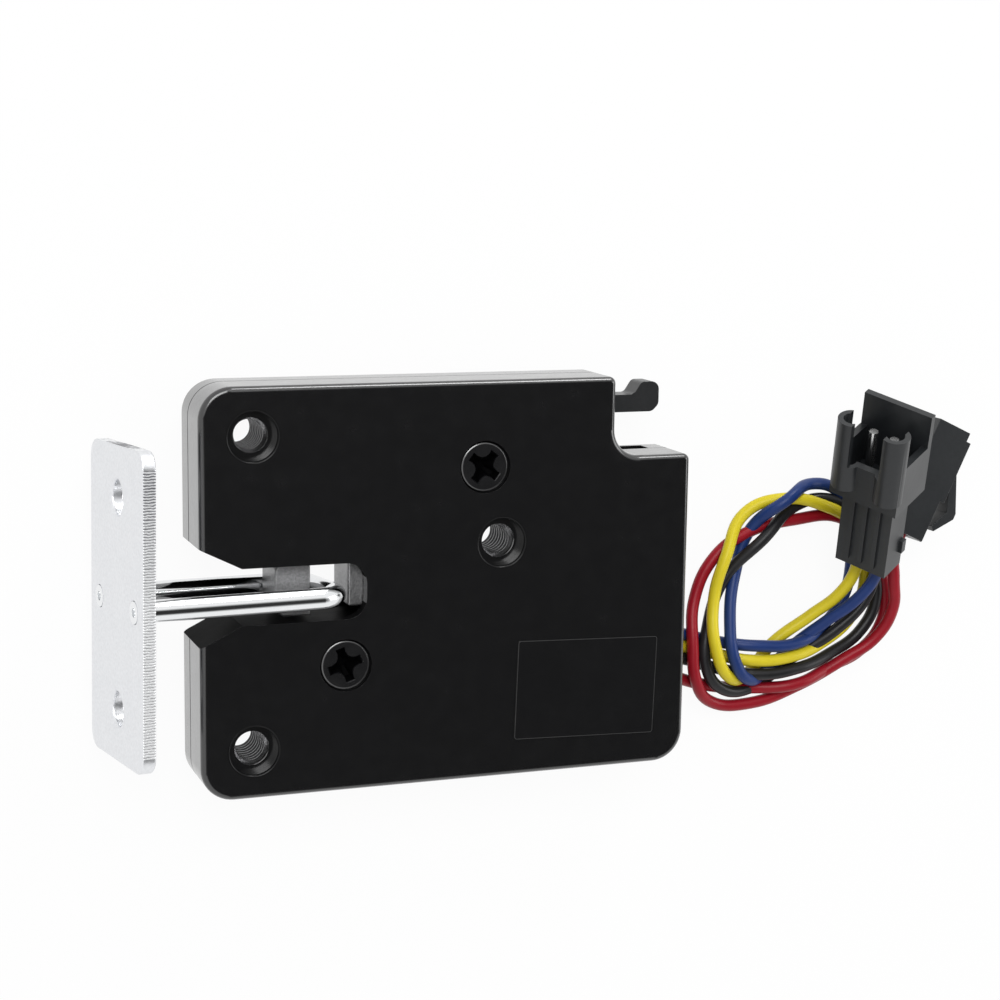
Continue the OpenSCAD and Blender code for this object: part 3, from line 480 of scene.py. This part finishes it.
def cover_screw(name, x, y, angle):
    """A countersunk screw turned round its axis, with a tapered cross recess."""
    shape = bmesh.new()
    rim = 48
    profile = (
        (2.32, 8.25), (2.42, 8.24), (2.5, 8.2), (2.55, 8.13), (2.57, 8.02), (1.45, 6.9),
        (1.45, 1.75), (1.2, 1.6),
    )
    rings = [
        [
            shape.verts.new((
                radius * math.cos(math.tau * step / rim), radius * math.sin(math.tau * step / rim), height
            ))
            for step in range(rim)
        ]
        for radius, height in profile
    ]
    for upper, lower in zip(rings, rings[1:]):
        for step in range(rim):
            after = (step + 1) % rim
            shape.faces.new((upper[step], lower[step], lower[after], upper[after]))
    shape.faces.new(rings[-1][::-1])
    steps = [
        [shape.verts.new((px, py, height)) for px, py in cross_outline(reach, width, waist, angle)]
        for reach, width, waist, height in (
            (1.86, 1.02, 0.74, 8.25), (1.76, 0.92, 0.66, 8.12), (1.4, 0.62, 0.44, 7.2),
            (0.5, 0.34, 0.22, 6.6),
        )
    ]
    sides = len(steps[0])
    # The recess below its upper step takes the second material, a darker coating that paints the shade
    # inside it.
    for depth, (upper, lower) in enumerate(zip(steps, steps[1:])):
        for step in range(sides):
            after = (step + 1) % sides
            side = shape.faces.new((upper[step], upper[after], lower[after], lower[step]))
            side.material_index = min(depth, 1)
    shape.faces.new(steps[-1]).material_index = 1
    loops = [
        shape.edges.get((ring[step], ring[(step + 1) % len(ring)]))
        for ring in (rings[0], steps[0]) for step in range(len(ring))
    ]
    bmesh.ops.triangle_fill(shape, use_beauty=True, edges=loops, normal=(0, 0, 1))
    bmesh.ops.recalc_face_normals(shape, faces=shape.faces)
    bmesh.ops.scale(shape, verts=shape.verts, vec=(0.001, 0.001, 0.001))
    bmesh.ops.translate(shape, verts=shape.verts, vec=at(x, y, 0))
    mesh = bpy.data.meshes.new(name + "_turned")
    shape.to_mesh(mesh)
    shape.free()
    mesh.materials.append(black_steel)
    mesh.materials.append(shade_coat)
    for face in mesh.polygons:
        face.use_smooth = True
    mesh.set_sharp_from_angle(angle=math.radians(24))
    made = bpy.data.objects.new(name + "_turned", mesh)
    bpy.context.scene.collection.objects.link(made)
    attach(made, "lock_body")
    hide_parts(name)


cover_screw("cover_screw_upper", 29.8, 33.05, 52)
cover_screw("cover_screw_lower", 15, 13.2, 18)

# Fork latch: sintered steel, grey and grainy; its edges, polished bright where the shackle
# runs, get the same grainy finish. It turns on a ground pin.
sinter, _, _ = grained(
    "sintered steel", (0.16, 0.16, 0.165), (0.42, 0.42, 0.425), 3600, 0.28, 0.5, 0.7, 0.00006, 0.85
)


def fork_reshape(shape):
    """Lets the throat between the horns run up behind the slot's upper lip."""
    low, high = at(11.6, 21.5, 0), at(15.75, 22.6, 0)
    for point in shape.verts:
        if low.x < point.co.x < high.x and low.y < point.co.y < high.y:
            point.co.y += 0.002


dressed("latch_fork", (sinter,), 0.00022, 3, 28, fork_reshape)
ground_steel, _, _ = grained(
    "ground steel", (0.6, 0.6, 0.61), (0.7, 0.7, 0.71), 3000, 0.2, 0.34, 0.1, 0.00001, 1.0
)
spring_steel, _, _ = grained(
    "spring steel", (0.55, 0.55, 0.56), (0.66, 0.66, 0.67), 3000, 0.22, 0.36, 0.1, 0.00001, 1.0
)
refinished((
    ("fork_pivot_pin", ground_steel), ("lever_pivot_pin", ground_steel),
    ("plunger_link_pin", ground_steel), ("plunger", ground_steel), ("fork_spring", spring_steel),
    ("plunger_spring", spring_steel),
))

# Release lever: stamped steel, blackened. Its hooked tab stands in the notch, where a
# finger or a tool pulls it down.
def lever_reshape(shape):
    """Fills out the tab's lower corner and rounds the corners of its hook."""
    for point in shape.verts:
        for start, end in (((48.8, 37.9), (49.65, 37.9)), ((50.4, 39.1), (50.4, 38.65))):
            if (point.co.xy - at(*start, 0).xy).length < 0.00002:
                point.co.xy = at(*end, 0).xy
    rounded = []
    for edge in shape.edges:
        upright = (edge.verts[0].co.xy - edge.verts[1].co.xy).length < 0.00002
        if upright and edge.verts[0].co.x > at(46, 0, 0).x:
            rounded.append(edge)
    bmesh.ops.bevel(shape, geom=rounded, offset=0.00032, segments=4, profile=0.5, affect="EDGES")


lever_black, _, _ = grained(
    "lever black", (0.012, 0.0125, 0.0135), (0.021, 0.022, 0.023), 3500, 0.26, 0.38, 0.2, 0.00002
)
dressed("release_lever", (lever_black,), 0.00018, 3, 28, lever_reshape)

# Solenoid: a plated strip frame round a nylon bobbin with copper windings, its core
# and its plunger. All of it is closed in between the two castings.
plating, _, _ = grained(
    "bright zinc plating", (0.74, 0.75, 0.77), (0.82, 0.83, 0.85), 2200, 0.24, 0.36, 0.12, 0.00002, 1.0
)
natural_nylon, _, _ = grained(
    "natural nylon", (0.68, 0.65, 0.56), (0.76, 0.73, 0.65), 1500, 0.4, 0.55, 0.1, 0.00002
)
copper, copper_shader, copper_tree = grained(
    "enamelled copper", (0.5, 0.17, 0.06), (0.64, 0.25, 0.1), 2500, 0.25, 0.35, 0.1, 0.00001, 1.0
)
turns = copper_tree.nodes.new("ShaderNodeTexWave")
turns.bands_direction = "Y"
turns.inputs["Scale"].default_value = 900
turns_place = copper_tree.nodes.new("ShaderNodeTexCoord")
turns_bump = copper_tree.nodes.new("ShaderNodeBump")
turns_bump.inputs["Distance"].default_value = 0.0001
copper_link = copper_tree.links.new
copper_link(turns_place.outputs["Object"], turns.inputs["Vector"])
copper_link(turns.outputs["Fac"], turns_bump.inputs["Height"])
copper_link(turns_bump.outputs["Normal"], copper_shader.inputs["Normal"])
black_plastic, _, _ = grained(
    "black moulding", (0.02, 0.02, 0.022), (0.03, 0.03, 0.032), 1500, 0.35, 0.5, 0.15, 0.00002
)
refinished((
    ("solenoid_yoke", plating), ("solenoid_core", plating), ("coil_bobbin", natural_nylon),
    ("coil_winding", copper), ("signal_switch", black_plastic), ("switch_button", natural_nylon),
    ("switch_terminals", tin),
))

# Grommet: soft black rubber, pressed into the cable-side wall from outside.
rubber, _, _ = grained(
    "grommet rubber", (0.014, 0.014, 0.014), (0.022, 0.022, 0.022), 1200, 0.5, 0.65, 0.2, 0.00004
)
dressed("wire_grommet", (rubber,), 0.00015)

# Rating label: a blank black film stuck to the front face, with a thin border round
# its face, at the cut edge, painted lighter than the film.
def film_reshape(shape):
    """Marks a thin border round the film's face, at its cut edge, for the lighter second material."""
    shape.normal_update()
    faces = [face for face in shape.faces if face.normal.z > 0.9]
    rim = bmesh.ops.inset_region(shape, faces=faces, thickness=0.00007, use_even_offset=True)
    for face in rim["faces"]:
        face.material_index = 1


film, _, _ = grained(
    "black film", (0.0048, 0.0048, 0.0053), (0.008, 0.008, 0.0085), 2500, 0.2, 0.28, 0.1, 0.00001
)
lighter_film_border, _, _ = grained(
    "lighter film border", (0.016, 0.016, 0.016), (0.04, 0.04, 0.04), 2500, 0.4, 0.5, 0.1, 0.00001
)
dressed("rating_label", (film, lighter_film_border), 0, reshape=film_reshape)

# Strike: a zinc-plated plate with rounded corners, with a polished U shackle whose two
# legs are riveted through it. The plate's sheared edges show fine lines across them,
# and are painted darker between the lines towards their upper end.
def plate_reshape(shape):
    """Gives the plate's four sheared edges the second material."""
    shape.normal_update()
    for face in shape.faces:
        if abs(face.normal.x) < 0.5 and face.calc_area() > 0.000004:
            face.material_index = 1


zinc_face, _, _ = grained(
    "zinc plated face", (0.7, 0.71, 0.73), (0.9, 0.91, 0.93), 3400, 0.26, 0.44, 0.35, 0.00003, 1.0
)
sheared, sheared_shader, sheared_tree = grained(
    "sheared zinc edge", (0.62, 0.63, 0.65), (0.82, 0.83, 0.85), 2600, 0.3, 0.46, 0.2, 0.00003, 0.55
)
sheared_link = sheared_tree.links.new
sheared_place = sheared_tree.nodes.new("ShaderNodeTexCoord")
lines = sheared_tree.nodes.new("ShaderNodeTexWave")
lines.bands_direction = "Y"
lines.inputs["Scale"].default_value = 1150
lines.inputs["Distortion"].default_value = 3.5
lines.inputs["Detail"].default_value = 3
lines.inputs["Detail Scale"].default_value = 1.5
line_tone = sheared_tree.nodes.new("ShaderNodeValToRGB")
for stop, position, colour in zip(
    line_tone.color_ramp.elements, (0.12, 0.42), ((0.5, 0.5, 0.51, 1), (0.92, 0.93, 0.94, 1))
):
    stop.position = position
    stop.color = colour
# The sheared edges are painted darker between the lines towards their upper end.
upper_end = sheared_tree.nodes.new("ShaderNodeSeparateXYZ")
upper_darkening = sheared_tree.nodes.new("ShaderNodeMapRange")
upper_darkening.inputs["From Min"].default_value = at(0, 22, 0).y
upper_darkening.inputs["From Max"].default_value = at(0, 33, 0).y
upper_darkened_tone = sheared_tree.nodes.new("ShaderNodeMix")
upper_darkened_tone.data_type = "RGBA"
upper_darkened_tone.blend_type = "MULTIPLY"
upper_darkened_tone.inputs["B"].default_value = (0.3, 0.3, 0.32, 1)
dark_mask = sheared_tree.nodes.new("ShaderNodeMath")
dark_mask.operation = "MULTIPLY"
light_mask = sheared_tree.nodes.new("ShaderNodeMath")
light_mask.operation = "SUBTRACT"
light_mask.inputs[0].default_value = 1.15
sheared_link(sheared_place.outputs["Object"], upper_end.inputs["Vector"])
sheared_link(upper_end.outputs["Y"], upper_darkening.inputs["Value"])
sheared_link(lines.outputs["Fac"], light_mask.inputs[1])
sheared_link(upper_darkening.outputs["Result"], dark_mask.inputs[0])
sheared_link(light_mask.outputs["Value"], dark_mask.inputs[1])
sheared_link(dark_mask.outputs["Value"], upper_darkened_tone.inputs["Factor"])
line_bump = sheared_tree.nodes.new("ShaderNodeBump")
line_bump.inputs["Distance"].default_value = 0.00002
sheared_link(sheared_place.outputs["Object"], lines.inputs["Vector"])
sheared_link(lines.outputs["Fac"], line_tone.inputs["Fac"])
sheared_link(line_tone.outputs["Color"], upper_darkened_tone.inputs["A"])
sheared_link(upper_darkened_tone.outputs["Result"], sheared_shader.inputs["Base Color"])
sheared_link(lines.outputs["Fac"], line_bump.inputs["Height"])
sheared_link(line_bump.outputs["Normal"], sheared_shader.inputs["Normal"])
dressed("strike_plate", (zinc_face, sheared), 0.00018, 3, reshape=plate_reshape)
polished, _, _ = grained(
    "polished rod", (0.8, 0.81, 0.82), (0.86, 0.87, 0.88), 1800, 0.07, 0.14, 0.06, 0.00001, 1.0
)
refinished((("strike_shackle", polished),))

# Floor and light: a pale sheet under and behind the lock, a broad soft lamp overhead,
# weaker ones from the cable side and beyond the lever, and a dark card before the cover.
FLOOR_HEIGHT = -0.00115
floor_shape = bmesh.new()
bmesh.ops.create_grid(floor_shape, x_segments=1, y_segments=1, size=1.2)
bmesh.ops.translate(floor_shape, verts=floor_shape.verts, vec=(0, 0, FLOOR_HEIGHT))
floor_mesh = bpy.data.meshes.new("floor")
floor_shape.to_mesh(floor_mesh)
floor_shape.free()
floor = bpy.data.objects.new("floor", floor_mesh)
bpy.context.scene.collection.objects.link(floor)
paper, paper_shader, paper_tree = material("white paper", (0.9, 0.9, 0.9), 0.9)
paper_shader.inputs["Specular IOR Level"].default_value = 0.0
paper_glow = paper_tree.nodes.new("ShaderNodeEmission")
paper_glow.inputs["Strength"].default_value = 1
paper_rays = paper_tree.nodes.new("ShaderNodeLightPath")
paper_seen = paper_tree.nodes.new("ShaderNodeMath")
paper_seen.operation = "MAXIMUM"
paper_share = paper_tree.nodes.new("ShaderNodeMath")
paper_share.operation = "MULTIPLY"
paper_share.inputs[1].default_value = 0.94
paper_mix = paper_tree.nodes.new("ShaderNodeMixShader")
paper_link = paper_tree.links.new
paper_link(paper_rays.outputs["Is Camera Ray"], paper_seen.inputs[0])
paper_link(paper_rays.outputs["Is Glossy Ray"], paper_seen.inputs[1])
paper_link(paper_seen.outputs[0], paper_share.inputs[0])
paper_link(paper_share.outputs[0], paper_mix.inputs[0])
paper_link(paper_shader.outputs[0], paper_mix.inputs[1])
paper_link(paper_glow.outputs[0], paper_mix.inputs[2])
paper_link(paper_mix.outputs[0], paper_tree.nodes["Material Output"].inputs["Surface"])
floor.data.materials.append(paper)

world = bpy.data.worlds.new("studio")
bpy.context.scene.world = world
world.use_nodes = True
sky = world.node_tree.nodes["Background"]
sky.inputs["Color"].default_value = (1, 1, 1, 1)
heading = world.node_tree.nodes.new("ShaderNodeTexCoord")
toward = world.node_tree.nodes.new("ShaderNodeVectorMath")
toward.operation = "DOT_PRODUCT"
toward.inputs[1].default_value = (0.344, -0.164, 0.925)
card = world.node_tree.nodes.new("ShaderNodeMapRange")
card.inputs["From Min"].default_value = 0.83
card.inputs["From Max"].default_value = 0.955
card.inputs["To Min"].default_value = 1
card.inputs["To Max"].default_value = 0.03
rays = world.node_tree.nodes.new("ShaderNodeLightPath")
mirrored = world.node_tree.nodes.new("ShaderNodeMix")
mirrored.inputs["A"].default_value = 0.55
seen = world.node_tree.nodes.new("ShaderNodeMix")
seen.inputs["B"].default_value = 1
sky_link = world.node_tree.links.new
sky_link(heading.outputs["Generated"], toward.inputs[0])
sky_link(toward.outputs["Value"], card.inputs["Value"])
sky_link(rays.outputs["Is Glossy Ray"], mirrored.inputs["Factor"])
sky_link(card.outputs["Result"], mirrored.inputs["B"])
sky_link(rays.outputs["Is Camera Ray"], seen.inputs["Factor"])
sky_link(mirrored.outputs["Result"], seen.inputs["A"])
sky_link(seen.outputs["Result"], sky.inputs["Strength"])


def lamp(name, place, size, power):
    """A square soft lamp that faces the middle of the lock."""
    data = bpy.data.lights.new(name, "AREA")
    data.shape = "SQUARE"
    data.size = size
    data.energy = power
    made = bpy.data.objects.new(name, data)
    made.location = place
    made.rotation_euler = (-Vector(place)).to_track_quat("-Z", "Y").to_euler()
    bpy.context.scene.collection.objects.link(made)


lamp("overhead_lamp", (-0.1, 0.28, 0.5), 0.3, 1.4)
lamp("side_lamp", (0.45, 0.05, 0.25), 0.25, 0.5)
lamp("rim_lamp", (0.16, 0.46, 0.16), 0.16, 0.8)

bpy.context.scene.view_settings.view_transform = "Standard"
